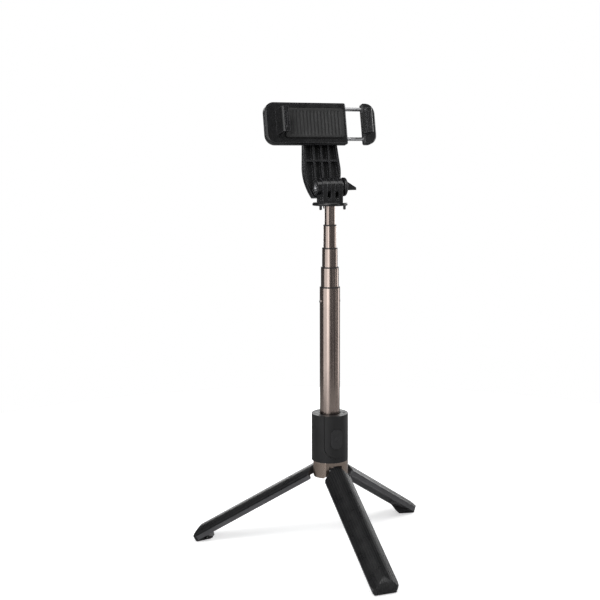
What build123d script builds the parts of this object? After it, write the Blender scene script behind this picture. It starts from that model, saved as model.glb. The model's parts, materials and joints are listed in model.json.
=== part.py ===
"""Selfie stick that opens into a table tripod: folding legs, telescopic pole, pull-off
shutter remote and a tilting, turning spring clamp for a phone. Units are millimetres.

The origin lies on the floor under the pole's axis, +Z is up and -Y is the front, where
the remote and the phone's screen face.
"""

from build123d import *
from math import cos, radians, sin, sqrt
import os

os.makedirs("parts", exist_ok=True)

# ---- driving dimensions ----
body_r = 15.0  # handle, hub and folded legs share one grip cylinder
core_bore_r = 9.02  # bore that the largest tube's slide bush runs in
fit = 0.08  # radial running clearance of a sliding bush
pin_fit = 0.06  # radial running clearance of a hinge pin

# tripod legs
leg_azimuths = {"front": 0, "left": -120, "right": 120}
leg_splay = 59.14  # angle between an open leg and the vertical
leg_pivot_r = 11.5
leg_pivot_z = 67.35
leg_half_width = 11.36
leg_edge_n = -1.7  # lower edge of the ribbed outer shell
leg_sole_n = -5.3  # underside of the inner liner
leg_liner_bore_r = 9.3
leg_shell_wall = 2.1
leg_depth = 30.0  # deeper than any leg section, for cuts
wedge_gap = 0.35  # keeps the folded legs apart
neck_half_width = 4.95
neck_end = 1.7
neck_boss_r = 2.2
neck_solid_end = 6.8
liner_start = 7.0
liner_bore_end = 102.0
nose_start = 110.5
nose_length = 12.2
nose_bend_s = 112.0  # from here on the leg narrows towards its tip
nose_tip_n = -5.0
nose_chord_half = 7.6
nose_face_s = 121.4  # the rounded nose ends in a flat face, down to the floor
nose_face_foot = 0.8  # by which the face leans back at the floor
nose_solid_s = 116.5  # the shell is solid from here on
nose_wrap_s = 118.6  # from here on it also covers the liner and the foot
groove_count = 11  # fine grooves along the outer shell and over its nose
groove_pitch = 1.9
groove_half = 0.3
groove_depth = 0.4
groove_start = 0.5
foot_heel_s = 110.0
foot_hook_depth = 4.75  # below the liner's underside, like the other foot depths
foot_heel_depth = 6.1
foot_flat_s = 112.2  # the sole stands on the floor from here to the tip
foot_web_half = 2.4  # solid middle that the side pockets leave
foot_pin_s = 112.5
foot_pin_depth = 2.6
foot_pin_r = 0.5
foot_pin_half = 4.6
pivot_pin_r = 1.0
pivot_pin_half = 8.1

# hub
hub_bottom = 61.5
hub_top = 74.3
hub_flat = 12.5  # distance of the three flats from the axis
hub_flat_half = 8.6
notch_half = 5.6
notch_top = 71.0
notch_flare_z = 65.9
notch_inner_r = 8.5
screw_circle_r = 11.9
screw_azimuths = (60, 180, 300)
screw_head_r = 2.0
screw_head_z = 64.5
screw_shank_r = 1.15
screw_shank_z = 66.5
screw_end_z = 83.5
screw_boss_r = 2.4

# handle
handle_top = 113.4
handle_wall = 1.8
handle_roof = 2.2
core_wall = 1.18
sleeve_bottom = 88.4
peg_circle_r = 11.8
peg_hole_r = 1.4
keyway_half = 1.4
keyway_bottom = 97.0
rivet_r = 1.1
rivet_shank_r = 0.78
rivet_out_r = 8.8
rivet_z = 206.0

# pull-off remote in the front of the handle
remote_half = 9.4
remote_bottom = 78.2
remote_gap = 0.35
remote_face_r = 15.3
remote_wall = 1.2
recess_y = 9.4
remote_back_y = 9.45
remote_base_thick = 0.6
button_z = 94.3
button_half_w = 4.9
button_half_h = 8.15
button_face_r = 15.8
button_gap = 0.25
button_skirt = 0.7
button_inner_r = 13.5
button_ring_r = 1.9
button_ring_w = 0.65
button_ring_depth = 0.35
button_travel = 0.5
cell_r = 6.25
cell_thick = 1.6
cell_z = 86.3
board_thick = 0.6
board_w = 14.6
board_h = 18.6
board_z = 102.6
switch_z = 100.0
switch_height = 1.05
switch_case = 4.2  # square case
switch_case_h = 0.7
switch_key_r = 1.2
plunger_r = 1.6
seat_gap = 0.03  # between parts that only rest on each other

# telescopic pole: outer radius, bottom and top of each tube with the pole open
tube_wall = 0.5
tube_groove_half = 2.4
tube_groove_depth = 0.8
tubes = {
    "tube_1": (8.25, 80.0, 217.0),
    "tube_2": (7.275, 99.0, 233.0),
    "tube_3": (6.3, 115.5, 248.5),
    "tube_4": (5.325, 134.0, 267.0),
    "tube_5": (4.35, 151.3, 283.3),
}
collar_depth = 10.0
collar_flange = 1.0
bush_length = 8.0

# head disc and hinge
disc_r = 14.45
disc_bottom = 283.3
disc_top = 286.0
peg_r = 1.1
peg_length = 3.2
spigot_r = 2.98
spigot_length = 12.0
head_pin_r = 0.7
head_pin_z = 278.3
hinge_z = 298.1
finger_r = 7.2
head_finger = 3.6
hinge_gap = 3.1
arm_finger = 2.7
hinge_floor = 287.6
hinge_bolt_r = 2.0
nut_boss_r = 6.2
nut_boss_x = -12.4
nut_half = 3.5  # half across the flats
hinge_nut_thick = 2.9
hinge_nut_pocket = 3.2
knob_flange_r = 7.6
knob_flange_x = 10.4
knob_face_x = 13.1
knob_tip_x = 22.2
knob_stem_r = 4.9
knob_wing_half = 1.8
washer_r = 5.4
washer_thick = 0.5

# arm, swivel and phone clamp, laid out on the clamp's own tilted plane
clamp_tilt = 12.1
swivel_v = 53.3
arm_front_w = 12.8
arm_back_w = 19.0
arm_wall = 1.8
arm_bottom_v = -6.0
arm_foot_half = 9.4
arm_half = 16.0
arm_head_r = 13.0
arm_waist_v = 18.0
arm_rib_half = 0.7
arm_web_half = 4.7  # webs that carry the hinge fingers
arm_rib_pitch = 6.6
arm_cross_rib_v = 24.0
swivel_boss_r = 7.5
swivel_r = 2.0
swivel_head_r = 3.8
swivel_head = 1.7
swivel_nut_thick = 2.2
plate_front_w = 6.3
plate_split_w = 9.3
plate_back_w = 12.3
plate_half_h = 17.0
plate_end = 47.8
plate_corner = 8.0
body_right = 22.0
slide_left = 36.3
phone_half = 35.5  # half the width of the phone the jaws are set to
phone_front_w = -3.7
pad_thick = 1.0
jaw_wall = 2.5
jaw_half_h = 10.0
lip_front_w = -9.0
lip_inner = 33.2
lip_edge = 2.4  # radius of the lip's outer edge
lip_slot_half = 6.0
lip_slot_w = 1.7
lip_slot_depth = 0.8
back_pad_w = 4.2
back_pad_u = -6.5
back_pad_length = 51.0
back_pad_height = 24.0
back_pad_corner = 3.0
rod_r = 1.5
rod_v = 12.3
rod_left = -30.0
rod_right = 44.3
rod_bore_left = -46.0
spring_v = 6.8
spring_r = 1.6
spring_wire_r = 0.25
spring_chamber_r = 2.1
spring_chamber_half = 20.0
spring_half = 18.0
spring_pitch = 2.2
cover_screw_r = 0.88
cover_screw_head_r = 1.75
cover_screw_head = 1.1
cover_screw_length = 3.6
cover_screw_hole = 2.0
plate_bevel = 1.1
cover_screws = ((-42.6, -6.0), (-42.6, 6.0), (14.0, 0.0), (-16.0, 0.0))  # (u, v - swivel_v)


def save(builder, name):
    """Label a finished sub-part and write it to its own file."""
    builder.part.label = name
    export_step(builder.part, f"parts/{name}.step")


def outward(azimuth):
    """Unit vector away from the pole, with azimuth 0 to the front."""
    return Vector(sin(radians(azimuth)), -cos(radians(azimuth)), 0)


def sideways(azimuth):
    """Unit vector across the outward one, to its left as seen from outside."""
    return Vector(cos(radians(azimuth)), sin(radians(azimuth)), 0)


def facing(azimuth, distance=0):
    """Upright plane that faces outward: local x is sideways, local y is height."""
    plane = Plane(origin=(0, 0, 0), x_dir=sideways(azimuth), z_dir=outward(azimuth))
    return plane.offset(distance)


# ---- tripod legs ----
# A leg's own coordinates start at its pivot: s runs along the leg, n is out through
# its ribbed face and w is sideways. Folded, s points down and n points outward.
def leg_axes(azimuth):
    """Origin, s and n directions of an open leg."""
    out = outward(azimuth)
    up = Vector(0, 0, 1)
    along = out * sin(radians(leg_splay)) - up * cos(radians(leg_splay))
    normal = out * cos(radians(leg_splay)) + up * sin(radians(leg_splay))
    origin = out * leg_pivot_r + up * leg_pivot_z
    return origin, along, normal


def leg_section_plane(azimuth, s=0.0):
    """Across the leg: local x is w, local y is n, the normal is s."""
    origin, along, _ = leg_axes(azimuth)
    return Plane(origin=origin, x_dir=sideways(azimuth), z_dir=along).offset(s)


def leg_side_plane(azimuth):
    """Along the leg, seen from its side: local x is s, local y is n."""
    origin, along, _ = leg_axes(azimuth)
    return Plane(origin=origin, x_dir=along, z_dir=-sideways(azimuth))


def leg_plan_plane(azimuth):
    """Along the leg, seen from outside: local x is s, local y is w."""
    origin, along, normal = leg_axes(azimuth)
    return Plane(origin=origin, x_dir=along, z_dir=normal)


def leg_side_outline(start, bottom, inset=0.0):
    """Side view of a leg from s = start, over the rounded nose, down to n = bottom."""
    top = body_r - leg_pivot_r - inset
    low = -leg_pivot_r
    length = nose_length - inset
    face = nose_face_s - inset
    back = face - nose_face_foot
    with BuildSketch() as outline:
        with BuildLine():
            Line((start, top), (nose_start, top))
            EllipticalCenterArc(
                (nose_start, nose_tip_n), length, top - nose_tip_n, start_angle=0, arc_size=90
            )
            Polyline(
                (nose_start + length, nose_tip_n),
                (nose_start + length, low),
                (start, low),
                (start, top),
            )
        make_face()
        with BuildLine():
            Polyline(
                (start, bottom),
                (nose_wrap_s, bottom),
                (nose_wrap_s, floor_n(nose_wrap_s)),
                (back, floor_n(back)),
                (face, nose_tip_n),
                (face, top),
                (start, top),
                (start, bottom),
            )
        make_face(mode=Mode.INTERSECT)
    return outline.sketch


def leg_plan_outline(inset=0.0):
    """Outline of a leg from outside: narrow neck, 45 degree shoulders, rounded nose."""
    half = leg_half_width - inset
    shoulder = neck_end + half - neck_half_width
    tip = nose_face_s + 1
    bend = nose_bend_s
    with BuildSketch() as outline:
        with BuildLine() as upper:
            Polyline(
                (-4, 0),
                (-4, neck_half_width),
                (neck_end, neck_half_width),
                (shoulder, half),
                (bend, half),
            )
            ThreePointArc((bend, half), (bend + 7.5, half - 1.6), (tip, nose_chord_half))
            Line((tip, nose_chord_half), (tip, 0))
            mirror(upper.line, about=Plane.XZ)
        make_face()
    return outline.sketch


def liner_rail():
    """Part of the liner's section that shows below the shell's edge."""
    top = leg_half_width - 0.3
    low = leg_half_width - 1.06
    with BuildSketch() as rail:
        with BuildLine():
            Polyline(
                (-top, leg_edge_n - 0.02),
                (top, leg_edge_n - 0.02),
                (low, leg_sole_n),
                (-low, leg_sole_n),
                (-top, leg_edge_n - 0.02),
            )
        make_face()
    return rail.sketch


def floor_n(s):
    """Height n of the floor under an open leg, at s along it."""
    return (s * cos(radians(leg_splay)) - leg_pivot_z) / sin(radians(leg_splay))


def leg_wedge():
    """Section of the third of the grip that a folded leg may fill."""
    spread = sqrt(3)
    reach = 2 * body_r
    with BuildSketch() as wedge:
        with BuildLine():
            Polyline(
                (0, wedge_gap - leg_pivot_r),
                (spread * reach - wedge_gap, reach - leg_pivot_r),
                (wedge_gap - spread * reach, reach - leg_pivot_r),
                (0, wedge_gap - leg_pivot_r),
            )
        make_face()
    return wedge.sketch


def leg_grooves(azimuth, span):
    """Thin slabs along the leg, cut back so that only their outer skin is left."""
    section = leg_section_plane(azimuth)
    with BuildPart() as core:
        with BuildSketch(section):
            with Locations((0, -leg_pivot_r)):
                Circle(body_r - groove_depth)
        extrude(amount=span)
        with BuildSketch(leg_side_plane(azimuth)):
            add(leg_side_outline(0, -leg_pivot_r, groove_depth))
        extrude(amount=body_r, both=True, mode=Mode.INTERSECT)
    with BuildPart() as grooves:
        with BuildSketch(section.offset(groove_start)):
            with Locations((0, body_r / 2)):
                with GridLocations(groove_pitch, 1, groove_count, 1):
                    Rectangle(2 * groove_half, 2 * body_r)
            with Locations((0, -leg_pivot_r)):
                Circle(body_r + 1, mode=Mode.INTERSECT)
        extrude(amount=span - groove_start)
        add(core.part, mode=Mode.SUBTRACT)
    return grooves.part


def foot_pockets():
    """Side view of the two pockets in a foot: one round its pin and one by the heel."""
    top = leg_sole_n - 0.3
    with BuildSketch() as pockets:
        with BuildLine():
            Polyline(
                (foot_pin_s - 1.6, top),
                (foot_pin_s + 2.1, top - 0.7),
                (foot_pin_s + 2.5, top - 2.8),
                (foot_pin_s + 0.2, top - 3.2),
                (foot_pin_s - 1.6, top),
            )
        make_face()
        with Locations((foot_heel_s + 0.2, top - 1.3)):
            Rectangle(0.6, 1.2)
    return pockets.sketch


for side, azimuth in leg_azimuths.items():
    section = leg_section_plane(azimuth)
    span = nose_face_s + 2

    with BuildPart() as leg_shell:
        with BuildSketch(section.offset(-4)):
            with Locations((0, -leg_pivot_r)):
                Circle(body_r)
        extrude(amount=span + 4)
        with BuildSketch(leg_side_plane(azimuth)):
            add(leg_side_outline(0, leg_edge_n))
            with BuildLine():
                Polyline(
                    (0, -neck_boss_r),
                    (neck_solid_end, -neck_boss_r),
                    (neck_solid_end, body_r - leg_pivot_r),
                    (0.5, body_r - leg_pivot_r),
                    (-neck_boss_r, 0.6),
                    (0, -neck_boss_r),
                )
            make_face()
            Circle(neck_boss_r)
        extrude(amount=body_r, both=True, mode=Mode.INTERSECT)
        with BuildSketch(leg_plan_plane(azimuth)):
            add(leg_plan_outline())
        extrude(amount=body_r, both=True, mode=Mode.INTERSECT)
        with BuildSketch(section.offset(neck_solid_end)):
            with Locations((0, -leg_pivot_r)):
                Circle(body_r - leg_shell_wall)
        extrude(amount=nose_solid_s - neck_solid_end, mode=Mode.SUBTRACT)
        with BuildSketch(leg_side_plane(azimuth)):
            Circle(pivot_pin_r + pin_fit)
        extrude(amount=body_r, both=True, mode=Mode.SUBTRACT)
        add(leg_grooves(azimuth, span), mode=Mode.SUBTRACT)
        with BuildSketch(section.offset(-leg_depth)):
            add(leg_wedge())
        extrude(amount=leg_depth + span, mode=Mode.INTERSECT)
    save(leg_shell, f"leg_shell_{side}")

    with BuildPart() as leg_liner:
        with BuildSketch(section.offset(liner_start)):
            with Locations((0, -leg_pivot_r)):
                Circle(body_r - leg_shell_wall - 0.1)
            with Locations((0, leg_edge_n - 0.02 + leg_depth / 2)):
                Rectangle(leg_depth, leg_depth, mode=Mode.INTERSECT)
            add(liner_rail())
        extrude(amount=nose_solid_s - liner_start)
        with BuildSketch(section.offset(nose_solid_s)):
            add(liner_rail())
        extrude(amount=nose_wrap_s - seat_gap - nose_solid_s)
        with BuildSketch(leg_plan_plane(azimuth)):
            add(leg_plan_outline(0.3))
        extrude(amount=body_r, both=True, mode=Mode.INTERSECT)
        with BuildSketch(section.offset(liner_start - 1)):
            with Locations((0, -leg_pivot_r)):
                Circle(leg_liner_bore_r)
        extrude(amount=liner_bore_end - liner_start + 1, mode=Mode.SUBTRACT)
    save(leg_liner, f"leg_liner_{side}")

    # The rubber foot is a wedge, so that the three feet close up when folded.
    tip_s = nose_wrap_s - seat_gap
    with BuildPart() as leg_foot:
        with BuildSketch(leg_side_plane(azimuth)):
            with BuildLine():
                Polyline(
                    (foot_heel_s, leg_sole_n),
                    (foot_heel_s - 1.6, leg_sole_n - foot_hook_depth),
                    (foot_heel_s, leg_sole_n - foot_hook_depth - 0.7),
                    (foot_heel_s + 1.0, leg_sole_n - foot_heel_depth),
                    (foot_flat_s, floor_n(foot_flat_s)),
                    (tip_s, floor_n(tip_s)),
                    (tip_s, leg_sole_n),
                    (foot_heel_s, leg_sole_n),
                )
            make_face()
        extrude(amount=body_r, both=True)
        for w in (-foot_web_half, foot_web_half):
            with BuildSketch(leg_side_plane(azimuth).offset(w)):
                add(foot_pockets())
            extrude(amount=body_r if w > 0 else -body_r, mode=Mode.SUBTRACT)
        with BuildSketch(section):
            add(leg_wedge())
        extrude(amount=span, mode=Mode.INTERSECT)
        with BuildSketch(leg_plan_plane(azimuth)):
            add(leg_plan_outline(1.1))
        extrude(amount=body_r, both=True, mode=Mode.INTERSECT)
        with BuildSketch(leg_side_plane(azimuth)):
            with Locations((foot_pin_s, leg_sole_n - foot_pin_depth)):
                Circle(foot_pin_r)
        extrude(amount=body_r, both=True, mode=Mode.SUBTRACT)
    save(leg_foot, f"leg_foot_{side}")

    with BuildPart() as foot_pin:
        with BuildSketch(leg_side_plane(azimuth)):
            with Locations((foot_pin_s, leg_sole_n - foot_pin_depth)):
                Circle(foot_pin_r)
        extrude(amount=foot_pin_half, both=True)
    save(foot_pin, f"foot_pin_{side}")

    with BuildPart() as leg_pin:
        with BuildSketch(leg_side_plane(azimuth)):
            Circle(pivot_pin_r)
        extrude(amount=pivot_pin_half, both=True)
    save(leg_pin, f"leg_pin_{side}")

# ---- hub: metal ring with a flat and a notch for each leg ----
with BuildPart() as hub:
    with BuildSketch(Plane.XY.offset(hub_bottom)):
        Circle(body_r)
        Circle(core_bore_r, mode=Mode.SUBTRACT)
    extrude(amount=hub_top - hub_bottom)
    for azimuth in leg_azimuths.values():
        with BuildSketch(facing(azimuth, hub_flat)):
            with Locations((0, (hub_bottom + hub_top) / 2)):
                Rectangle(2 * hub_flat_half, hub_top - hub_bottom + 2)
        extrude(amount=body_r - hub_flat + 1, mode=Mode.SUBTRACT)
        flare = notch_flare_z - hub_bottom + 1
        with BuildSketch(facing(azimuth, notch_inner_r)):
            with BuildLine():
                Polyline(
                    (-notch_half, notch_top),
                    (notch_half, notch_top),
                    (notch_half, notch_flare_z),
                    (notch_half + flare, notch_flare_z - flare),
                    (-notch_half - flare, notch_flare_z - flare),
                    (-notch_half, notch_flare_z),
                    (-notch_half, notch_top),
                )
            make_face()
        extrude(amount=body_r, mode=Mode.SUBTRACT)
        with BuildSketch(leg_side_plane(azimuth)):
            Circle(pivot_pin_r)
        extrude(amount=pivot_pin_half, both=True, mode=Mode.SUBTRACT)
    with BuildSketch(Plane.XY.offset(hub_bottom)):
        for azimuth in screw_azimuths:
            with Locations(outward(azimuth) * screw_circle_r):
                Circle(screw_shank_r + 0.15)
    extrude(amount=hub_top - hub_bottom, mode=Mode.SUBTRACT)
    with BuildSketch(Plane.XY.offset(hub_bottom)):
        for azimuth in screw_azimuths:
            with Locations(outward(azimuth) * screw_circle_r):
                Circle(screw_head_r + 0.2)
    extrude(amount=screw_shank_z - hub_bottom, mode=Mode.SUBTRACT)
save(hub, "hub")

with BuildPart() as hub_screws:
    for azimuth in screw_azimuths:
        with BuildSketch(Plane.XY.offset(screw_head_z)):
            with Locations(outward(azimuth) * screw_circle_r):
                Circle(screw_head_r)
        extrude(amount=screw_shank_z - screw_head_z)
        with BuildSketch(Plane.XY.offset(screw_shank_z)):
            with Locations(outward(azimuth) * screw_circle_r):
                Circle(screw_shank_r)
        extrude(amount=screw_end_z - screw_shank_z)
        with BuildSketch(Plane.XY.offset(screw_head_z)):
            with Locations(outward(azimuth) * screw_circle_r):
                RegularPolygon(screw_head_r / 2, 6)
        extrude(amount=(screw_shank_z - screw_head_z) / 2, mode=Mode.SUBTRACT)
save(hub_screws, "hub_screws")


# ---- handle ----
def remote_outline(grow=0.0, top=handle_top):
    """U-shaped front outline of the remote, grown all round."""
    half = remote_half + grow
    centre = remote_bottom + remote_half
    with Locations((0, centre)):
        Circle(half)
    with Locations((0, (centre + top) / 2)):
        Rectangle(2 * half, top - centre)


with BuildPart() as handle_shell:
    with BuildSketch(Plane.XY.offset(hub_top)):
        Circle(body_r)
        Circle(core_bore_r, mode=Mode.SUBTRACT)
    extrude(amount=handle_top - hub_top)
    with BuildSketch(Plane.XY.offset(hub_top)):
        Circle(body_r - handle_wall)
        Circle(core_bore_r + core_wall, mode=Mode.SUBTRACT)
        with Locations((0, -body_r + 2.5)):
            Rectangle(2 * remote_half + 3.0, 9.0, mode=Mode.SUBTRACT)
        for azimuth in screw_azimuths:
            with Locations(outward(azimuth) * screw_circle_r):
                Circle(screw_boss_r, mode=Mode.SUBTRACT)
    extrude(amount=handle_top - handle_roof - hub_top, mode=Mode.SUBTRACT)
    with BuildSketch(facing(0, recess_y)):
        remote_outline(remote_gap, handle_top + 1)
    extrude(amount=body_r, mode=Mode.SUBTRACT)
    with BuildSketch(Plane.XY.offset(hub_top)):
        for azimuth in screw_azimuths:
            with Locations(outward(azimuth) * screw_circle_r):
                Circle(screw_shank_r)
    extrude(amount=screw_end_z + 0.1 - hub_top, mode=Mode.SUBTRACT)
    with BuildSketch(Plane.XY.offset(handle_top - handle_roof - 1.0)):
        for azimuth in screw_azimuths:
            with Locations(outward(azimuth) * peg_circle_r):
                Circle(peg_hole_r)
    extrude(amount=handle_roof + 1.0, mode=Mode.SUBTRACT)
    with BuildSketch(Plane.XY.offset(keyway_bottom)):
        for x in (-1, 1):
            with Locations((x * (rivet_out_r + 0.25) / 2, 0)):
                Rectangle(rivet_out_r + 0.25, 2 * keyway_half)
    extrude(amount=handle_top - keyway_bottom, mode=Mode.SUBTRACT)
save(handle_shell, "handle_shell")

# ---- sleeve in the top of the handle that guides the largest tube ----
with BuildPart() as guide_sleeve:
    with BuildSketch(Plane.XY.offset(sleeve_bottom)):
        Circle(core_bore_r - 0.01)
        Circle(tubes["tube_1"][0] + fit, mode=Mode.SUBTRACT)
    extrude(amount=handle_top - 0.4 - sleeve_bottom)
    with BuildSketch(Plane.XY.offset(keyway_bottom)):
        Rectangle(2 * body_r, 2 * keyway_half)
    extrude(amount=handle_top - keyway_bottom, mode=Mode.SUBTRACT)
save(guide_sleeve, "guide_sleeve")


# ---- pull-off remote ----
def button_outline(grow=0.0):
    """Upright oval outline of the shutter button."""
    with Locations((0, button_z)):
        SlotOverall(2 * (button_half_h + grow), 2 * (button_half_w + grow), rotation=90)


def pole_cylinder(radius):
    """Cylinder about the pole's axis, as high as the handle, that rounds the remote."""
    with BuildPart() as cylinder:
        with BuildSketch(Plane.XY.offset(hub_top)):
            Circle(radius)
        extrude(amount=handle_top - hub_top)
    return cylinder.part


cavity_y = remote_back_y + remote_base_thick
board_y = cavity_y + seat_gap
switch_y = board_y + board_thick
with BuildPart() as remote_cavity:
    with BuildSketch(facing(0, cavity_y)):
        remote_outline(-remote_wall, handle_top - remote_wall)
    extrude(amount=body_r)
    add(pole_cylinder(remote_face_r - remote_wall), mode=Mode.INTERSECT)

with BuildPart() as remote_cover:
    with BuildSketch(facing(0, cavity_y)):
        remote_outline()
    extrude(amount=body_r)
    add(pole_cylinder(remote_face_r), mode=Mode.INTERSECT)
    add(remote_cavity.part, mode=Mode.SUBTRACT)
    with BuildSketch(facing(0, cavity_y + 1.0)):
        button_outline(button_gap)
    extrude(amount=body_r, mode=Mode.SUBTRACT)
save(remote_cover, "remote_cover")

with BuildPart() as remote_base:
    with BuildSketch(facing(0, remote_back_y)):
        remote_outline()
    extrude(amount=remote_base_thick)
save(remote_base, "remote_base")

with BuildPart() as button_face:
    with BuildSketch(facing(0, cavity_y)):
        button_outline()
    extrude(amount=body_r)
    add(pole_cylinder(button_face_r), mode=Mode.INTERSECT)

with BuildPart() as remote_button:
    with BuildSketch(facing(0, cavity_y)):
        button_outline(button_skirt)
    extrude(amount=body_r)
    add(pole_cylinder(remote_face_r - remote_wall - 0.12), mode=Mode.INTERSECT)
    add(button_face.part)
    add(pole_cylinder(button_inner_r), mode=Mode.SUBTRACT)
    plunger_y = switch_y + switch_height + button_travel + seat_gap
    with BuildSketch(facing(0, plunger_y)):
        with Locations((0, switch_z)):
            Circle(plunger_r)
    extrude(amount=button_inner_r + 0.4 - plunger_y)
    with BuildSketch(facing(0, button_face_r - button_ring_depth)):
        with Locations((0, button_z)):
            Circle(button_ring_r)
            Circle(button_ring_r - button_ring_w, mode=Mode.SUBTRACT)
    extrude(amount=1.0, mode=Mode.SUBTRACT)
save(remote_button, "remote_button")

with BuildPart() as remote_board:
    with BuildSketch(facing(0, board_y)):
        with Locations((0, board_z)):
            RectangleRounded(board_w, board_h, 1.0)
    extrude(amount=board_thick)
save(remote_board, "remote_board")

with BuildPart() as remote_switch:
    with BuildSketch(facing(0, switch_y)):
        with Locations((0, switch_z)):
            Rectangle(switch_case, switch_case)
    extrude(amount=switch_case_h)
    with BuildSketch(facing(0, switch_y + switch_case_h)):
        with Locations((0, switch_z)):
            Circle(switch_key_r)
    extrude(amount=switch_height - switch_case_h)
save(remote_switch, "remote_switch")

with BuildPart() as remote_cell:
    with BuildSketch(facing(0, board_y)):
        with Locations((0, cell_z)):
            Circle(cell_r)
    extrude(amount=cell_thick)
save(remote_cell, "remote_cell")


# ---- telescopic pole ----
def grooved_circle(radius, floor, half_width):
    """Round section with one flat-bottomed groove down its front."""
    with BuildSketch() as section:
        Circle(radius)
        with Locations((0, -floor - radius / 2)):
            Rectangle(2 * half_width, radius, mode=Mode.SUBTRACT)
    return section.sketch


def tube_outline(radius, grow=0.0):
    """Outside of a tube, or of a hole that clears it by grow."""
    floor = radius - tube_groove_depth + grow
    return grooved_circle(radius + grow, floor, tube_groove_half - grow)


def tube_bore(radius, shrink=0.0):
    """Inside of a tube, or of a plug that clears it by shrink."""
    inner = radius - tube_wall - shrink
    floor = inner - tube_groove_depth
    return grooved_circle(inner, floor, tube_groove_half + tube_wall + shrink)


tube_names = list(tubes)
for index, (name, (radius, bottom, top)) in enumerate(tubes.items()):
    outline = tube_outline(radius)
    bore = tube_bore(radius)
    with BuildPart() as tube:
        with BuildSketch(Plane.XY.offset(bottom)):
            add(outline)
            add(bore, mode=Mode.SUBTRACT)
        extrude(amount=top - bottom)
        if name == "tube_1":
            with BuildSketch(Plane.YZ):
                with Locations((0, rivet_z)):
                    Circle(rivet_shank_r + 0.02)
            extrude(amount=radius + 1, both=True, mode=Mode.SUBTRACT)
        if name == "tube_5":
            with BuildSketch(Plane.YZ):
                with Locations((0, head_pin_z)):
                    Circle(head_pin_r)
            extrude(amount=radius + 1, both=True, mode=Mode.SUBTRACT)
    save(tube, name)

    # Slide bush at the tube's bottom, running in the next larger bore.
    if index > 0:
        around = tube_bore(tubes[tube_names[index - 1]][0], fit)
    with BuildPart() as bush:
        with BuildSketch(Plane.XY.offset(bottom)):
            if index == 0:
                Circle(core_bore_r - 0.1)
            else:
                add(around)
            add(outline, mode=Mode.SUBTRACT)
        extrude(amount=bush_length)
    save(bush, f"slide_bush_{index + 1}")

    # Collar that closes the tube's top round the next smaller tube.
    if index < len(tube_names) - 1:
        plug = tube_bore(radius, 0.01)
        hole = tube_outline(tubes[tube_names[index + 1]][0], fit)
        with BuildPart() as collar:
            with BuildSketch(Plane.XY.offset(top - collar_depth)):
                add(plug)
                add(hole, mode=Mode.SUBTRACT)
            extrude(amount=collar_depth)
            with BuildSketch(Plane.XY.offset(top)):
                Circle(radius)
                add(hole, mode=Mode.SUBTRACT)
            extrude(amount=collar_flange)
        save(collar, f"collar_{index + 1}")

# ---- stop rivets on the largest tube, which seat in the handle's keyways ----
with BuildPart() as stop_rivets:
    for x in (-1, 1):
        rivet_plane = Plane(origin=(0, 0, rivet_z), z_dir=(x, 0, 0))
        with BuildSketch(rivet_plane.offset(tubes["tube_1"][0] - 0.02)):
            Circle(rivet_r)
        extrude(amount=rivet_out_r - tubes["tube_1"][0] + 0.02)
        with BuildSketch(rivet_plane.offset(tubes["tube_1"][0] - tube_wall - 0.1)):
            Circle(rivet_shank_r)
        extrude(amount=tube_wall + 0.1)
save(stop_rivets, "stop_rivets")

# ---- head: disc with pegs, spigot in the thinnest tube and a three-finger hinge ----
with BuildPart() as head_mount:
    with BuildSketch(Plane.XY.offset(disc_bottom)):
        Circle(disc_r)
    extrude(amount=disc_top - disc_bottom)
    fillet(head_mount.edges().filter_by(GeomType.CIRCLE), 1.1)
    with BuildSketch(Plane.XY.offset(disc_bottom - peg_length)):
        for azimuth in screw_azimuths:
            with Locations(outward(azimuth) * peg_circle_r):
                Circle(peg_r)
    extrude(amount=peg_length + 0.5)
    fillet(head_mount.edges().group_by(Axis.Z)[0], 0.8)
    with BuildSketch(Plane.XY.offset(disc_bottom - spigot_length)):
        Circle(spigot_r)
    extrude(amount=spigot_length + 0.5)
    with BuildSketch(Plane.YZ):
        with Locations((0, hinge_z)):
            Circle(finger_r)
        with Locations((0, (disc_top + hinge_z) / 2 - 0.25)):
            Rectangle(2 * finger_r, hinge_z - disc_top + 0.5)
    extrude(amount=1.5 * head_finger + hinge_gap, both=True)
    for x in (-1, 1):
        gap_centre = x * (head_finger + hinge_gap) / 2
        with BuildSketch(Plane.XZ.offset(-body_r)):
            with Locations((gap_centre, hinge_floor + 10)):
                Rectangle(hinge_gap, 20)
        extrude(amount=2 * body_r, mode=Mode.SUBTRACT)
    fingers_half = 1.5 * head_finger + hinge_gap
    with BuildSketch(Plane.YZ.offset(nut_boss_x)):
        with Locations((0, hinge_z)):
            Circle(nut_boss_r)
    extrude(amount=-nut_boss_x - fingers_half)
    with BuildSketch(Plane.YZ.offset(nut_boss_x)):
        with Locations((0, hinge_z)):
            RegularPolygon(nut_half + 0.05, 6, major_radius=False)
    extrude(amount=hinge_nut_pocket, mode=Mode.SUBTRACT)
    with BuildSketch(Plane.YZ):
        with Locations((0, hinge_z)):
            Circle(hinge_bolt_r + pin_fit)
    extrude(amount=2 * body_r, both=True, mode=Mode.SUBTRACT)
    with BuildSketch(Plane.YZ):
        with Locations((0, head_pin_z)):
            Circle(head_pin_r)
    extrude(amount=6, both=True, mode=Mode.SUBTRACT)
save(head_mount, "head_mount")

with BuildPart() as head_pin:
    with BuildSketch(Plane.YZ):
        with Locations((0, head_pin_z)):
            Circle(head_pin_r)
    extrude(amount=tubes["tube_5"][0] - 0.05, both=True)
save(head_pin, "head_pin")

with BuildPart() as hinge_nut:
    with BuildSketch(Plane.YZ.offset(nut_boss_x + 0.2)):
        with Locations((0, hinge_z)):
            RegularPolygon(nut_half, 6, major_radius=False)
            Circle(hinge_bolt_r + 0.03, mode=Mode.SUBTRACT)
    extrude(amount=hinge_nut_thick)
save(hinge_nut, "hinge_nut")

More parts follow.
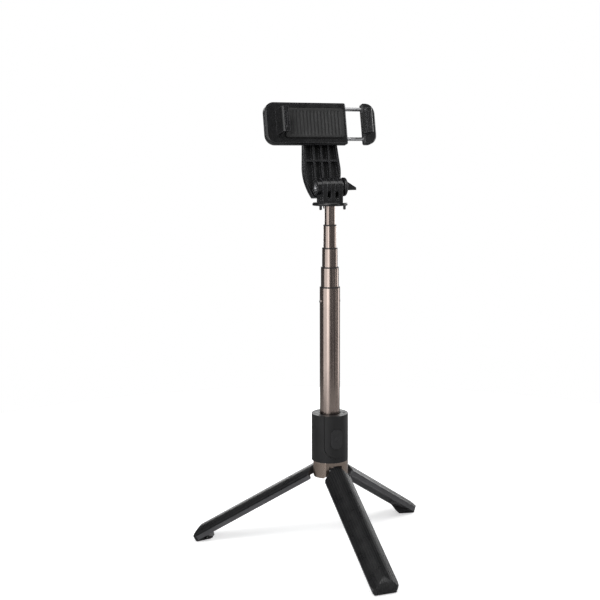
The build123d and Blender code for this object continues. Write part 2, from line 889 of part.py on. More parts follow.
# ---- thumb knob and the hinge bolt moulded into it ----
with BuildPart() as hinge_bolt:
    with BuildSketch(Plane.YZ.offset(nut_boss_x + 0.6)):
        with Locations((0, hinge_z)):
            Circle(hinge_bolt_r)
    extrude(amount=knob_flange_x + 0.6 - nut_boss_x)
save(hinge_bolt, "hinge_bolt")

with BuildPart() as knob_washer:
    with BuildSketch(Plane.YZ.offset(fingers_half + 0.05)):
        with Locations((0, hinge_z)):
            Circle(washer_r)
            Circle(hinge_bolt_r + 0.02, mode=Mode.SUBTRACT)
    extrude(amount=washer_thick)
save(knob_washer, "knob_washer")

with BuildPart() as thumb_knob:
    with BuildSketch(Plane.YZ.offset(fingers_half + washer_thick + 0.07)):
        with Locations((0, hinge_z)):
            Circle(knob_stem_r)
    extrude(amount=knob_flange_x - fingers_half)
    with BuildSketch(Plane.YZ.offset(knob_flange_x)):
        with Locations((0, hinge_z)):
            Circle(knob_flange_r)
    extrude(amount=knob_face_x - knob_flange_x)
    fillet(thumb_knob.edges().filter_by(GeomType.CIRCLE).group_by(SortBy.RADIUS)[-1], 1.0)
    with BuildSketch(Plane.XZ):
        with BuildLine():
            Polyline(
                (knob_face_x - 1, hinge_z - 2.8),
                (knob_face_x - 1, hinge_z + 4.9),
                (knob_face_x + 0.6, hinge_z + 4.6),
                (knob_tip_x, hinge_z - 0.6),
                (knob_tip_x, hinge_z - 2.6),
                (knob_face_x - 1, hinge_z - 2.8),
            )
        make_face()
    extrude(amount=knob_wing_half, both=True)
    with BuildSketch(Plane.YZ.offset(fingers_half)):
        with Locations((0, hinge_z)):
            Circle(hinge_bolt_r)
    extrude(amount=knob_flange_x + 1.2 - fingers_half, mode=Mode.SUBTRACT)
save(thumb_knob, "thumb_knob")

# ---- tilting arm ----
# The clamp's own coordinates start at the hinge: u is sideways, v is up along the
# tilted plate and w is back through it.
tilt = radians(clamp_tilt)
back = Vector(0, cos(tilt), -sin(tilt))
hinge_point = Vector(0, 0, hinge_z)


def clamp_plane(w):
    """Plane of the plate at depth w: local x is u, local y is v, normal to the front."""
    return Plane(origin=hinge_point + back * w, x_dir=(1, 0, 0), z_dir=-back)


clamp_side = Plane(origin=hinge_point, x_dir=back, z_dir=(1, 0, 0))


def arm_outline(inset=0.0):
    """Shield-shaped outline, narrow over the head disc and round at the swivel."""
    with BuildSketch() as outline:
        with BuildLine() as right:
            foot = (arm_foot_half - inset, arm_bottom_v + inset)
            waist = (arm_half - inset, arm_waist_v)
            Line((0, arm_bottom_v + inset), foot)
            ThreePointArc(foot, (arm_half - 2.0 - inset, 4.0), waist)
            Line(waist, (arm_head_r - inset, swivel_v))
            CenterArc((0, swivel_v), arm_head_r - inset, 0, 90)
            mirror(right.line, about=Plane.YZ)
        make_face()
    return outline.sketch


with BuildPart() as arm:
    with BuildSketch(clamp_plane(arm_back_w)):
        add(arm_outline())
    extrude(amount=arm_back_w - arm_front_w)
    with BuildSketch(clamp_plane(arm_back_w - arm_wall)):
        add(arm_outline(arm_wall))
        with Locations((0, arm_cross_rib_v)):
            with GridLocations(arm_rib_pitch, 1, 3, 1):
                Rectangle(2 * arm_rib_half, 2 * swivel_v, mode=Mode.SUBTRACT)
            Rectangle(4 * arm_half, 2 * arm_rib_half, mode=Mode.SUBTRACT)
        with Locations((0, swivel_v)):
            Circle(swivel_boss_r, mode=Mode.SUBTRACT)
    extrude(amount=arm_back_w - arm_wall - arm_front_w, mode=Mode.SUBTRACT)
    for x in (-1, 1):
        gap_centre = x * (head_finger + hinge_gap) / 2
        with BuildSketch(clamp_side.offset(gap_centre - arm_finger / 2)):
            Circle(finger_r - 0.3)
            with Locations(((arm_back_w - arm_wall) / 2, 0)):
                Rectangle(arm_back_w - arm_wall, 2 * arm_web_half)
        extrude(amount=arm_finger)
    with BuildSketch(clamp_side):
        Circle(hinge_bolt_r + pin_fit + 0.02)
    extrude(amount=body_r, both=True, mode=Mode.SUBTRACT)
    with BuildSketch(clamp_plane(arm_back_w)):
        with Locations((0, swivel_v)):
            RegularPolygon(nut_half + 0.05, 6, major_radius=False)
    extrude(amount=swivel_nut_thick + 0.2, mode=Mode.SUBTRACT)
    with BuildSketch(clamp_plane(arm_back_w)):
        with Locations((0, swivel_v)):
            Circle(swivel_r)
    extrude(amount=arm_back_w - arm_front_w + 1, mode=Mode.SUBTRACT)
save(arm, "arm")

with BuildPart() as swivel_screw:
    with BuildSketch(clamp_plane(arm_back_w - 0.4)):
        with Locations((0, swivel_v)):
            Circle(swivel_r)
    extrude(amount=arm_back_w - 0.4 - plate_split_w + seat_gap)
    with BuildSketch(clamp_plane(plate_split_w - seat_gap)):
        with Locations((0, swivel_v)):
            Circle(swivel_head_r)
    extrude(amount=swivel_head)
    with BuildSketch(clamp_plane(plate_split_w - seat_gap - swivel_head)):
        with Locations((0, swivel_v)):
            RegularPolygon(1.5, 6)
    extrude(amount=-1.2, mode=Mode.SUBTRACT)
save(swivel_screw, "swivel_screw")

with BuildPart() as swivel_nut:
    with BuildSketch(clamp_plane(arm_back_w - 0.2)):
        with Locations((0, swivel_v)):
            RegularPolygon(nut_half, 6, major_radius=False)
            Circle(swivel_r, mode=Mode.SUBTRACT)
    extrude(amount=swivel_nut_thick)
save(swivel_nut, "swivel_nut")

with BuildPart() as swivel_washer:
    with BuildSketch(clamp_plane(arm_front_w)):
        with Locations((0, swivel_v)):
            Circle(swivel_boss_r - 0.1)
            Circle(swivel_r, mode=Mode.SUBTRACT)
    extrude(amount=arm_front_w - plate_back_w - seat_gap)
save(swivel_washer, "swivel_washer")


# ---- clamp ----
def plate_outline(left, right, corner_left, corner_right):
    """Upright rectangle with its own corner radius at each end."""
    with BuildSketch() as outline:
        with Locations(((left + right) / 2, swivel_v)):
            Rectangle(right - left, 2 * plate_half_h)
        fillet(outline.vertices().group_by(Axis.X)[0], corner_left)
        fillet(outline.vertices().group_by(Axis.X)[-1], corner_right)
    return outline.sketch


body_outline = plate_outline(-plate_end, body_right, plate_corner, 1.5)
slide_outline = plate_outline(slide_left, plate_end, 1.5, plate_corner)


jaw_plane = Plane(
    origin=hinge_point + Vector(0, sin(tilt), cos(tilt)) * swivel_v,
    x_dir=(1, 0, 0),
    z_dir=(0, -sin(tilt), -cos(tilt)),
)  # across the clamp through the swivel: local x is u, local y is -w
lip_back_w = phone_front_w - 0.3 - pad_thick


def jaw(side):
    """Jaw wall with its front lip, and the slot moulded into the lip."""
    outer = side * (phone_half + pad_thick + jaw_wall)
    inner = side * (phone_half + pad_thick)
    round_start = (outer, -lip_front_w - lip_edge)
    round_end = (outer - side * lip_edge, -lip_front_w)
    rise = lip_edge * (1 - cos(radians(45)))
    with BuildPart() as built:
        with BuildSketch(jaw_plane):
            with BuildLine():
                Line((outer, -plate_front_w - 0.5), round_start)
                ThreePointArc(round_start, (outer - side * rise, -lip_front_w - rise), round_end)
                Polyline(
                    round_end,
                    (side * lip_inner, -lip_front_w),
                    (side * lip_inner, -lip_back_w),
                    (inner, -lip_back_w),
                    (inner, -plate_front_w - 0.5),
                    (outer, -plate_front_w - 0.5),
                )
            make_face()
        extrude(amount=jaw_half_h, both=True)
        with BuildSketch(clamp_plane(lip_front_w)):
            with Locations((side * (lip_inner + 2.6), swivel_v)):
                SlotOverall(2 * lip_slot_half, lip_slot_w, rotation=90)
        extrude(amount=-lip_slot_depth, mode=Mode.SUBTRACT)
    return built.part


def rod_places():
    """The two guide rods' places on a plane across the clamp."""
    return [(plate_split_w, swivel_v - rod_v), (plate_split_w, swivel_v + rod_v)]


def spring_places():
    """The two springs' places on a plane across the clamp."""
    return [(plate_split_w, swivel_v - spring_v), (plate_split_w, swivel_v + spring_v)]


screw_places = [(u, swivel_v + v) for u, v in cover_screws]

# Bores shared by the clamp's body and its cover: guide rods and springs.
with BuildPart() as clamp_bores:
    with BuildSketch(clamp_side.offset(rod_bore_left)):
        with Locations(*rod_places()):
            Circle(rod_r + pin_fit)
    extrude(amount=body_right - rod_bore_left + 1)
    with BuildSketch(clamp_side.offset(-spring_chamber_half)):
        with Locations(*spring_places()):
            Circle(spring_chamber_r)
    extrude(amount=2 * spring_chamber_half)

with BuildPart() as clamp_body:
    with BuildSketch(clamp_plane(plate_split_w)):
        add(body_outline)
    extrude(amount=plate_split_w - plate_front_w)
    chamfer(clamp_body.faces().sort_by(Axis.Y)[0].edges(), plate_bevel)
    add(jaw(-1))
    add(clamp_bores.part, mode=Mode.SUBTRACT)
    with BuildSketch(clamp_plane(plate_split_w)):
        with Locations((0, swivel_v)):
            Circle(swivel_head_r + 0.4)
    extrude(amount=plate_split_w - plate_front_w + 1, mode=Mode.SUBTRACT)
    with BuildSketch(clamp_plane(plate_split_w)):
        with Locations(*screw_places):
            Circle(cover_screw_r + 0.02)
    extrude(amount=cover_screw_hole, mode=Mode.SUBTRACT)
save(clamp_body, "clamp_body")

with BuildPart() as clamp_cover:
    with BuildSketch(clamp_plane(plate_back_w)):
        add(body_outline)
    extrude(amount=plate_back_w - plate_split_w)
    add(clamp_bores.part, mode=Mode.SUBTRACT)
    with BuildSketch(clamp_plane(plate_back_w)):
        with Locations((0, swivel_v)):
            Circle(swivel_r + pin_fit)
        with Locations(*screw_places):
            Circle(cover_screw_r + 0.12)
    extrude(amount=plate_back_w - plate_split_w, mode=Mode.SUBTRACT)
    with BuildSketch(clamp_plane(plate_back_w)):
        with Locations(*screw_places):
            Circle(cover_screw_head_r + 0.15)
    extrude(amount=cover_screw_head + 0.1, mode=Mode.SUBTRACT)
save(clamp_cover, "clamp_cover")

with BuildPart() as clamp_screws:
    with BuildSketch(clamp_plane(plate_back_w - 0.1)):
        with Locations(*screw_places):
            Circle(cover_screw_head_r)
    extrude(amount=cover_screw_head)
    with BuildSketch(clamp_plane(plate_back_w - 0.1 - cover_screw_head)):
        with Locations(*screw_places):
            Circle(cover_screw_r)
    extrude(amount=cover_screw_length)
    with BuildSketch(clamp_plane(plate_back_w - 0.1)):
        with Locations(*screw_places):
            Rectangle(2.2, 0.5)
            Rectangle(0.5, 2.2)
    extrude(amount=0.5, mode=Mode.SUBTRACT)
save(clamp_screws, "clamp_screws")

with BuildPart() as jaw_slide:
    with BuildSketch(clamp_plane(plate_back_w)):
        add(slide_outline)
    extrude(amount=plate_back_w - plate_front_w)
    chamfer(jaw_slide.faces().sort_by(Axis.Y)[0].edges(), plate_bevel)
    add(jaw(1))
    with BuildSketch(clamp_side.offset(slide_left - 1)):
        with Locations(*rod_places()):
            Circle(rod_r)
    extrude(amount=rod_right + 1 - slide_left, mode=Mode.SUBTRACT)
save(jaw_slide, "jaw_slide")

with BuildPart() as guide_rods:
    with BuildSketch(clamp_side.offset(rod_left)):
        with Locations(*rod_places()):
            Circle(rod_r)
    extrude(amount=rod_right - rod_left)
save(guide_rods, "guide_rods")

with BuildPart() as jaw_springs:
    for place in spring_places():
        start = clamp_side.from_local_coords((*place, -spring_half))
        with BuildLine() as coil:
            Helix(spring_pitch, 2 * spring_half, spring_r, center=start, direction=(1, 0, 0))
        with BuildSketch(Plane(origin=coil.line @ 0, z_dir=coil.line % 0)):
            Circle(spring_wire_r)
        sweep(path=coil.line)
save(jaw_springs, "jaw_springs")


# ---- rubber pads ----
with BuildPart() as back_pad:
    with BuildSketch(clamp_plane(plate_front_w)):
        with Locations((back_pad_u, swivel_v)):
            RectangleRounded(back_pad_length, back_pad_height, back_pad_corner)
    extrude(amount=plate_front_w - back_pad_w)
save(back_pad, "back_pad")

for side, name in ((-1, "jaw_pad_left"), (1, "jaw_pad_right")):
    outer = side * (phone_half + pad_thick)
    lip_end = side * (lip_inner + 0.6)
    with BuildPart() as jaw_pad:
        with BuildSketch(jaw_plane):
            with BuildLine():
                Polyline(
                    (outer, -plate_front_w + 0.02),
                    (outer, -lip_back_w),
                    (lip_end, -lip_back_w),
                    (lip_end, -lip_back_w - pad_thick),
                    (side * phone_half, -lip_back_w - pad_thick),
                    (side * phone_half, -plate_front_w + 0.02),
                    (outer, -plate_front_w + 0.02),
                )
            make_face()
        extrude(amount=jaw_half_h - 1.2, both=True)
    save(jaw_pad, name)
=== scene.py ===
"""Looks of the selfie stick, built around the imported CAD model. Units are metres.

The CAD nodes are shown with softened edges and their own materials. The clamp's ribbed
rubber pads and the linings of its two jaws are made in mesh code, and ride on its bodies.
"""

import json
from math import cos, pi, radians, sin, sqrt

import bmesh
import bpy
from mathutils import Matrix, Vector


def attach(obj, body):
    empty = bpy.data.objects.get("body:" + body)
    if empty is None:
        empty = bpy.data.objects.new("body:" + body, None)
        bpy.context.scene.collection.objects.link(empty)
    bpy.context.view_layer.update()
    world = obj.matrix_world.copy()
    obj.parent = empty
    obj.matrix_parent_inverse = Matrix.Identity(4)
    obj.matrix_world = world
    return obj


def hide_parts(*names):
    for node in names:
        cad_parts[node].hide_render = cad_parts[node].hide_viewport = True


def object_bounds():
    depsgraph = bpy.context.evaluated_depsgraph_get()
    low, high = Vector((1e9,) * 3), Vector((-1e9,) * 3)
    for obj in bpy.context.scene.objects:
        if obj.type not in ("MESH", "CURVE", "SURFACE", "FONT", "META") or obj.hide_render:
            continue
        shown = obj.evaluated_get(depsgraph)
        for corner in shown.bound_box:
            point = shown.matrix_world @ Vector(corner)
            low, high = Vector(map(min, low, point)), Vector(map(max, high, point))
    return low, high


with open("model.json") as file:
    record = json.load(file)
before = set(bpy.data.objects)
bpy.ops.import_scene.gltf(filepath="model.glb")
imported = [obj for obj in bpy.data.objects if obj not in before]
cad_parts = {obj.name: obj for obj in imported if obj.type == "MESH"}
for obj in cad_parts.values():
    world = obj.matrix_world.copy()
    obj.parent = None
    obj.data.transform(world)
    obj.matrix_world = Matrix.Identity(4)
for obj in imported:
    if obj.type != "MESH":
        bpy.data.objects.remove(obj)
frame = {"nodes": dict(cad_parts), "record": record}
cad_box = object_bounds()
scene = bpy.context.scene

slot_of = {part["node"]: part["material_slot"] for part in frame["record"]["subparts"]}

# ---- surface settings shared by the materials ----
PLASTIC_CLOUDS = 55.0  # noise scales, per metre
METAL_CLOUDS = 38.0
SMUDGES = 140.0
FLOOR_CLOUDS = 6.0
PLASTIC_RUB_AND_HIGHLIGHT = 0.0006  # how far in from an edge the lighter tone reaches: rubbed wear and a painted highlight
METAL_RUB = 0.0004
EDGE_SHOWS, EDGE_FULL = 0.995, 0.88  # cosines of the turn at which the lighter edge tone starts and peaks (rubbed wear; on plastics also a painted highlight)


# ---- node helpers ----
def add_node(tree, kind, **settings):
    """New shader node with attributes set, and inputs set where the value is a dict."""
    node = tree.nodes.new(kind)
    for name, value in settings.items():
        if name == "inputs":
            for socket, number in value.items():
                node.inputs[socket].default_value = number
        else:
            setattr(node, name, value)
    return node


def object_noise(tree, scale, detail=3.0, stretch=(1, 1, 1)):
    """Noise in the object's own space; stretch makes streaks."""
    place = add_node(tree, "ShaderNodeTexCoord")
    mapping = add_node(tree, "ShaderNodeMapping", inputs={"Scale": stretch})
    noise = add_node(tree, "ShaderNodeTexNoise", inputs={"Scale": scale, "Detail": detail})
    tree.links.new(place.outputs["Object"], mapping.inputs["Vector"])
    tree.links.new(mapping.outputs["Vector"], noise.inputs["Vector"])
    return noise.outputs["Fac"]


def span(tree, source, low, high, start=0.3, end=0.7):
    """Map a noise value from start..end to low..high."""
    node = add_node(
        tree,
        "ShaderNodeMapRange",
        inputs={"From Min": start, "From Max": end, "To Min": low, "To Max": high},
    )
    tree.links.new(source, node.inputs["Value"])
    return node.outputs["Result"]


def blend_colour(tree, factor, first, second):
    """Mix of two colours or colour sockets."""
    node = add_node(tree, "ShaderNodeMix", data_type="RGBA")
    tree.links.new(factor, node.inputs["Factor"])
    for socket, colour in ((node.inputs[6], first), (node.inputs[7], second)):
        if isinstance(colour, (tuple, list)):
            socket.default_value = (*colour, 1.0)
        else:
            tree.links.new(colour, socket)
    return node.outputs[2]


def edge_mask(tree, radius, strength):
    """Near 1 along convex and concave edges within radius, 0 on open faces."""
    rounded = add_node(tree, "ShaderNodeBevel", samples=4, inputs={"Radius": radius})
    plain = add_node(tree, "ShaderNodeNewGeometry")
    dot = add_node(tree, "ShaderNodeVectorMath", operation="DOT_PRODUCT")
    tree.links.new(rounded.outputs["Normal"], dot.inputs[0])
    tree.links.new(plain.outputs["Normal"], dot.inputs[1])
    edge_weight = add_node(
        tree,
        "ShaderNodeMapRange",
        inputs={
            "From Min": EDGE_SHOWS,
            "From Max": EDGE_FULL,
            "To Min": 0.0,
            "To Max": strength,
        },
    )
    tree.links.new(dot.outputs["Value"], edge_weight.inputs["Value"])
    return edge_weight.outputs["Result"]


def bump(tree, shader, height, strength, distance):
    """Let a height value disturb a shader's surface."""
    node = add_node(tree, "ShaderNodeBump", inputs={"Strength": strength, "Distance": distance})
    tree.links.new(height, node.inputs["Height"])
    tree.links.new(node.outputs["Normal"], shader.inputs["Normal"])


def seen_or_lit(tree, lit, seen, output):
    """Give an output one shader for the camera and another for all other rays."""
    rays = add_node(tree, "ShaderNodeLightPath")
    choice = add_node(tree, "ShaderNodeMixShader")
    tree.links.new(rays.outputs["Is Camera Ray"], choice.inputs["Fac"])
    tree.links.new(lit, choice.inputs[1])
    tree.links.new(seen, choice.inputs[2])
    tree.links.new(choice.outputs["Shader"], tree.nodes[output].inputs["Surface"])


def scaled(colour, factor):
    """The colour made darker or lighter."""
    return tuple(channel * factor for channel in colour)


def new_material(name):
    """New material, with its node tree and its shader."""
    material = bpy.data.materials.new(name)
    material.use_nodes = True
    tree = material.node_tree
    return material, tree, tree.nodes["Principled BSDF"]


def moulded(name, colour, roughness, grain=3200.0, depth=0.00006, edge_strength=0.35, rub_and_highlight=4.0, shine=0.5):
    """Moulded plastic or rubber: cloudy tone, fine eroded grain, and lighter edges, partly rubbed
    wear and partly a painted highlight.
    """
    material, tree, shader = new_material(name)
    shader.inputs["Specular IOR Level"].default_value = shine
    clouds = span(tree, object_noise(tree, PLASTIC_CLOUDS, 4.0), 0.0, 1.0)
    tone = blend_colour(tree, clouds, scaled(colour, 0.82), scaled(colour, 1.2))
    # Lighter edges: partly rubbed wear, partly a painted highlight standing in for light caught on
    # the rounded edges.
    if edge_strength:
        edge_weight = edge_mask(tree, PLASTIC_RUB_AND_HIGHLIGHT, edge_strength)
        tone = blend_colour(tree, edge_weight, tone, scaled(colour, rub_and_highlight))
    tree.links.new(tone, shader.inputs["Base Color"])
    smudges = object_noise(tree, SMUDGES, 5.0)
    rough = span(tree, smudges, roughness - 0.06, roughness + 0.08)
    tree.links.new(rough, shader.inputs["Roughness"])
    bump(tree, shader, object_noise(tree, grain, 2.0), 0.35, depth)
    return material


def metal(name, colour, roughness, streaks, grain=900.0, depth=0.00002, edge_strength=0.3):
    """Metal with drawn or blasted grain, slight tone changes and brighter edges."""
    material, tree, shader = new_material(name)
    shader.inputs["Metallic"].default_value = 1.0
    clouds = span(tree, object_noise(tree, METAL_CLOUDS, 4.0), 0.0, 1.0)
    tone = blend_colour(tree, clouds, scaled(colour, 0.9), scaled(colour, 1.08))
    edge_weight = edge_mask(tree, METAL_RUB, edge_strength)
    tone = blend_colour(tree, edge_weight, tone, scaled(colour, 1.5))
    tree.links.new(tone, shader.inputs["Base Color"])
    lines = object_noise(tree, grain, 3.0, streaks)
    rough = span(tree, lines, roughness - 0.05, roughness + 0.07)
    tree.links.new(rough, shader.inputs["Roughness"])
    bump(tree, shader, lines, 0.25, depth)
    return material


along_pole = (1.0, 1.0, 0.012)  # stretches the grain into upright streaks
even = (1.0, 1.0, 1.0)
materials = {
    "bronze": metal("bronze", (0.37, 0.30, 0.255), 0.28, even, grain=2600.0, depth=0.000006),
    "bronze_tube": metal("bronze_tube", (0.41, 0.335, 0.30), 0.19, along_pole, depth=0.000006),
    "steel": metal("steel", (0.56, 0.56, 0.57), 0.28, even, grain=1500.0),
    "cell_steel": metal("cell_steel", (0.70, 0.70, 0.71), 0.18, even, grain=1200.0),
    "black_matte": moulded("black_matte", (0.015, 0.015, 0.0155), 0.44, shine=0.30),
    # black_satin and leg_black get edges 12 and 6 times lighter: mostly a painted highlight on
    # their rounded edges, with some rubbed wear.
    "black_satin": moulded(
        "black_satin", (0.007, 0.007, 0.0075), 0.25, depth=0.00001, edge_strength=0.9, rub_and_highlight=12.0
    ),
    "leg_black": moulded(
        "leg_black", (0.006, 0.006, 0.0063), 0.30, depth=0.00001, edge_strength=0.6, rub_and_highlight=6.0
    ),
    "leg_grey": moulded("leg_grey", (0.085, 0.085, 0.089), 0.46),
    "foot_rubber": moulded("foot_rubber", (0.022, 0.022, 0.023), 0.60, grain=2200.0, depth=0.0001),
    "collar_black": moulded("collar_black", (0.016, 0.014, 0.014), 0.38, edge_strength=0.2),
    "button_rubber": moulded("button_rubber", (0.024, 0.024, 0.025), 0.5, grain=2600.0, shine=0.3),
    "pad_rubber": moulded("pad_rubber", (0.016, 0.016, 0.016), 0.70, grain=1800.0, depth=0.0001),
    "switch_plastic": moulded("switch_plastic", (0.03, 0.03, 0.031), 0.45),
    "circuit_board": moulded("circuit_board", (0.015, 0.10, 0.045), 0.35, grain=700.0),
}

# ---- CAD nodes: softened edges and their materials ----
edge_widths = {
    "leg_black": 0.00012,
    "bronze_tube": 0.00010,
    "collar_black": 0.00012,
    "steel": 0.00010,
    "cell_steel": 0.00015,
    "circuit_board": 0.00005,
    "switch_plastic": 0.00008,
    "bronze": 0.00035,
    "black_satin": 0.00030,
    "black_matte": 0.00030,
}
PLAIN_EDGE = 0.0002
WELD_DISTANCE = 0.000002
SHARP = radians(30)


def soften(node, width):
    """Weld the tessellated faces and round every edge that turns more than SHARP."""
    weld = node.modifiers.new("weld", "WELD")
    weld.merge_threshold = WELD_DISTANCE
    edges = node.modifiers.new("edges", "BEVEL")
    edges.width = width
    edges.segments = 2
    edges.limit_method = "ANGLE"
    edges.angle_limit = SHARP
    normals = node.modifiers.new("normals", "WEIGHTED_NORMAL")
    normals.weight = 80


for name, node in frame["nodes"].items():
    slot = slot_of[name]
    node.data.materials.clear()
    node.data.materials.append(materials[slot])
    soften(node, edge_widths.get(slot, PLAIN_EDGE))


# ---- the clamp's ribbed rubber ----
# The clamp's own directions: u to the side of the thumb knob, v up along the tilted plate,
# w back through it, with the tilting arm's hinge as their origin.
joints = {joint["name"]: joint for joint in frame["record"]["behaviour"]["joints"]}
hinge = Vector(joints["arm_tilt"]["pos_m"])
toward_u = Vector((1.0, 0.0, 0.0))
toward_w = -Vector(joints["clamp_turn"]["axis"])
toward_v = toward_w.cross(toward_u)
if toward_v.z < 0:
    toward_v = -toward_v


def place(u, v, w):
    """Point at the clamp's own coordinates."""
    return hinge + toward_u * u + toward_v * v + toward_w * w


def clamp_extent(name):
    """Lowest and highest u, v and w of a CAD node."""
    node = frame["nodes"][name]
    points = [node.matrix_world @ vertex.co - hinge for vertex in node.data.vertices]
    ranges = []
    for direction in (toward_u, toward_v, toward_w):
        along = [point.dot(direction) for point in points]
        ranges.append((min(along), max(along)))
    return ranges


def finish_piece(name, build, slot, body, node, edge=0.0):
    """Turn a bmesh into a smooth piece that rides on a body and stands for a node."""
    bmesh.ops.recalc_face_normals(build, faces=build.faces)
    mesh = bpy.data.meshes.new(name)
    build.to_mesh(mesh)
    build.free()
    for face in mesh.polygons:
        face.use_smooth = True
    mesh.materials.append(materials[slot])
    piece = bpy.data.objects.new(name, mesh)
    scene.collection.objects.link(piece)
    if edge:
        soften(piece, edge)
    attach(piece, body)
    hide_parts(node)


def back_pad():
    """Rounded pad with upright ribs that the phone's back rests on."""
    (u0, u1), (v0, v1), (w0, w1) = clamp_extent("back_pad")
    half_u, half_v, thick = (u1 - u0) / 2, (v1 - v0) / 2, w1 - w0
    middle_u, middle_v = (u0 + u1) / 2, (v0 + v1) / 2
    corner, lip, groove = 0.003, 0.0007, 0.0007
    rim, rise = 0.0022, 0.0006  # plain border, and the run over which the ribs grow from it
    ribs, columns_per_rib, rows = 17, 12, 28
    columns = ribs * columns_per_rib

    def edge_v(u):
        over = max(0.0, abs(u) - (half_u - corner))
        return half_v - corner + sqrt(max(0.0, corner**2 - over**2))

    def height(u, v):
        """Front surface: ribs inside a plain rim, which rolls over at its edge."""
        inside = min(half_u - abs(u), edge_v(u) - abs(v))
        roll = 1 - sqrt(max(0.0, 1 - (1 - min(1.0, inside / lip)) ** 2))
        field = min(1.0, max(0.0, (inside - rim) / rise))
        wave = 0.5 - 0.5 * cos(2 * pi * ribs * (u + half_u) / (2 * half_u))
        return thick - lip * roll - groove * field * wave

    build = bmesh.new()
    front, back = [], []
    for i in range(columns + 1):
        u = -half_u + 2 * half_u * i / columns
        line = []
        for j in range(rows + 1):
            v = sin(pi / 2 * (2 * j / rows - 1)) * edge_v(u)
            line.append(build.verts.new(place(middle_u + u, middle_v + v, w1 - height(u, v))))
        front.append(line)
        ends = (middle_v - edge_v(u), middle_v + edge_v(u))
        back.append([build.verts.new(place(middle_u + u, v, w1)) for v in ends])
    for i in range(columns):
        for j in range(rows):
            build.faces.new((front[i][j], front[i + 1][j], front[i + 1][j + 1], front[i][j + 1]))
        build.faces.new((back[i][0], back[i][1], back[i + 1][1], back[i + 1][0]))
        build.faces.new((front[i][0], back[i][0], back[i + 1][0], front[i + 1][0]))
        build.faces.new((front[i][rows], front[i + 1][rows], back[i + 1][1], back[i][1]))
    for i in (0, columns):
        build.faces.new([*front[i], back[i][1], back[i][0]])
    finish_piece("back_pad_rubber", build, "pad_rubber", "clamp", "back_pad")


def jaw_pad(side, node, body):
    """L-shaped lining of a jaw: fine ribs cross its wall and the inside of its lip."""
    (u0, u1), (v0, v1), (w0, w1) = clamp_extent(node)
    outer, lip_end = (u1, u0) if side > 0 else (u0, u1)
    thick, groove = 0.001, 0.00035
    end, end_round = 0.0006, 0.0003  # plain ends, and how far their edges draw back
    ribs, slices_per_rib = 12, 8
    slices = ribs * slices_per_rib
    build = bmesh.new()
    rings = []
    for i in range(slices + 1):
        v = v0 + (v1 - v0) * i / slices
        inside = min(v - v0, v1 - v)
        field = min(1.0, max(0.0, (inside - end) / end))
        cut = groove * field * (0.5 - 0.5 * cos(2 * pi * ribs * i / slices))
        cut += end_round * max(0.0, 1 - inside / end) ** 2
        wall = outer - side * (thick - cut)
        under = w0 + thick - cut
        section = (
            (outer, w1),
            (outer, w0),
            (lip_end, w0),
            (lip_end, under),
            (wall, under),
            (wall, w1),
        )
        rings.append([build.verts.new(place(u, v, w)) for u, w in section])
    count = len(rings[0])
    for i in range(slices):
        for j in range(count):
            k = (j + 1) % count
            build.faces.new((rings[i][j], rings[i][k], rings[i + 1][k], rings[i + 1][j]))
    build.faces.new(rings[0])
    build.faces.new(list(reversed(rings[-1])))
    finish_piece(f"{node}_rubber", build, "pad_rubber", body, node, edge=0.00008)


back_pad()
jaw_pad(-1, "jaw_pad_left", "clamp")
jaw_pad(1, "jaw_pad_right", "sliding_jaw")

# ---- floor, lights and camera ----
FLOOR_RADIUS = 0.62
FLOOR_GAP = 0.0002  # keeps the floor's face clear of the soles
GLOW_START, GLOW_END = 0.18, 0.55  # distances between which the floor turns pure white
LIGHT_TARGET = Vector((0.0, 0.0, 0.18))  # middle of the object


def floor_material():
    """Pale matte floor that fades to white outwards and is dimmer in reflections."""
    material, tree, shader = new_material("floor")
    tone = span(tree, object_noise(tree, FLOOR_CLOUDS), 0.0, 1.0)
    colour = blend_colour(tree, tone, (0.86, 0.86, 0.86), (0.90, 0.90, 0.90))
    tree.links.new(colour, shader.inputs["Base Color"])
    shader.inputs["Roughness"].default_value = 0.9
    shader.inputs["Emission Color"].default_value = (1.0, 1.0, 1.0, 1.0)
    spot = add_node(tree, "ShaderNodeTexCoord")
    reach = add_node(tree, "ShaderNodeVectorMath", operation="LENGTH")
    tree.links.new(spot.outputs["Object"], reach.inputs[0])
    glow = span(tree, reach.outputs["Value"], 0.50, 1.0, GLOW_START, GLOW_END)
    tree.links.new(glow, shader.inputs["Emission Strength"])
    dim = add_node(tree, "ShaderNodeBsdfDiffuse")
    dim.inputs["Color"].default_value = (0.42, 0.42, 0.42, 1.0)
    seen_or_lit(tree, dim.outputs["BSDF"], shader.outputs["BSDF"], "Material Output")
    return material


def make_floor():
    """Plain round floor just under the soles."""
    mesh = bpy.data.meshes.new("floor")
    build = bmesh.new()
    bmesh.ops.create_circle(build, cap_ends=True, segments=128, radius=FLOOR_RADIUS)
    build.to_mesh(mesh)
    build.free()
    mesh.materials.append(floor_material())
    floor = bpy.data.objects.new("floor", mesh)
    floor.location.z = cad_box[0][2] - FLOOR_GAP
    scene.collection.objects.link(floor)


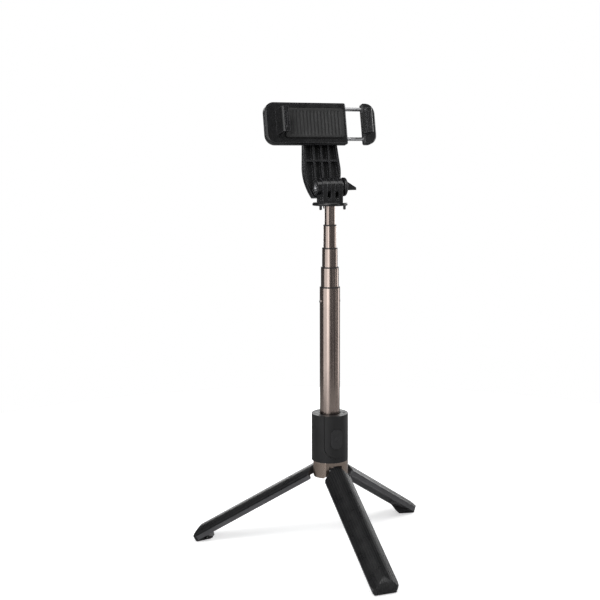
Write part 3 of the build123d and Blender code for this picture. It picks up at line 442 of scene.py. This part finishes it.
def softbox(name, azimuth, elevation, distance, size, power):
    """Rectangular light that faces the middle of the object."""
    a, e = radians(azimuth), radians(elevation)
    direction = Vector((sin(a) * cos(e), -cos(a) * cos(e), sin(e)))
    data = bpy.data.lights.new(name, "AREA")
    data.shape = "RECTANGLE"
    data.size, data.size_y = size
    data.energy = power
    lamp = bpy.data.objects.new(name, data)
    lamp.location = LIGHT_TARGET + direction * distance
    lamp.rotation_euler = direction.to_track_quat("Z", "Y").to_euler()
    lamp.visible_camera = False
    scene.collection.objects.link(lamp)


def make_world():
    """Faint even light, seen as plain white."""
    world = bpy.data.worlds.new("studio")
    world.use_nodes = True
    scene.world = world
    sky = world.node_tree
    lit = sky.nodes["Background"]
    lit.inputs["Color"].default_value = (0.95, 0.97, 1.0, 1.0)
    lit.inputs["Strength"].default_value = 0.10
    seen = add_node(sky, "ShaderNodeBackground", inputs={"Strength": 1.0})
    seen.inputs["Color"].default_value = (1.0, 1.0, 1.0, 1.0)
    seen_or_lit(sky, lit.outputs["Background"], seen.outputs["Background"], "World Output")


def make_camera(azimuth, pitch, distance, height):
    """Camera at this distance from the pole's axis, turned to it and tilted down."""
    data = bpy.data.cameras.new("camera")
    data.lens = 66.28
    data.sensor_width = 36.0
    data.shift_x = -0.04976
    data.clip_start = 0.02
    data.clip_end = 100.0
    camera = bpy.data.objects.new("camera", data)
    turn = radians(azimuth)
    camera.location = (distance * sin(turn), -distance * cos(turn), height)
    camera.rotation_euler = (radians(90 - pitch), 0.0, turn)
    scene.collection.objects.link(camera)
    scene.camera = camera


make_floor()
# name, azimuth, elevation, distance, size, power
softbox("key", -62, 6, 1.5, (2.2, 1.7), 14.0)
softbox("core", -45, 4, 1.4, (0.5, 1.5), 2.8)
softbox("middle", 8, 2, 1.6, (0.45, 1.5), 0.5)
softbox("fill", 38, 4, 1.6, (0.40, 1.5), 3.4)
softbox("rim", 98, 8, 1.6, (1.0, 1.5), 7.0)
softbox("front", -42, 44, 1.2, (0.5, 0.3), 5.0)
softbox("top", 5, 62, 1.5, (1.3, 0.9), 9.0)
softbox("backdrop", 155, 12, 1.7, (2.2, 0.9), 18.0)
make_world()
make_camera(azimuth=-21.725, pitch=7.737, distance=0.8886, height=0.3275)
scene.view_settings.view_transform = "Standard"
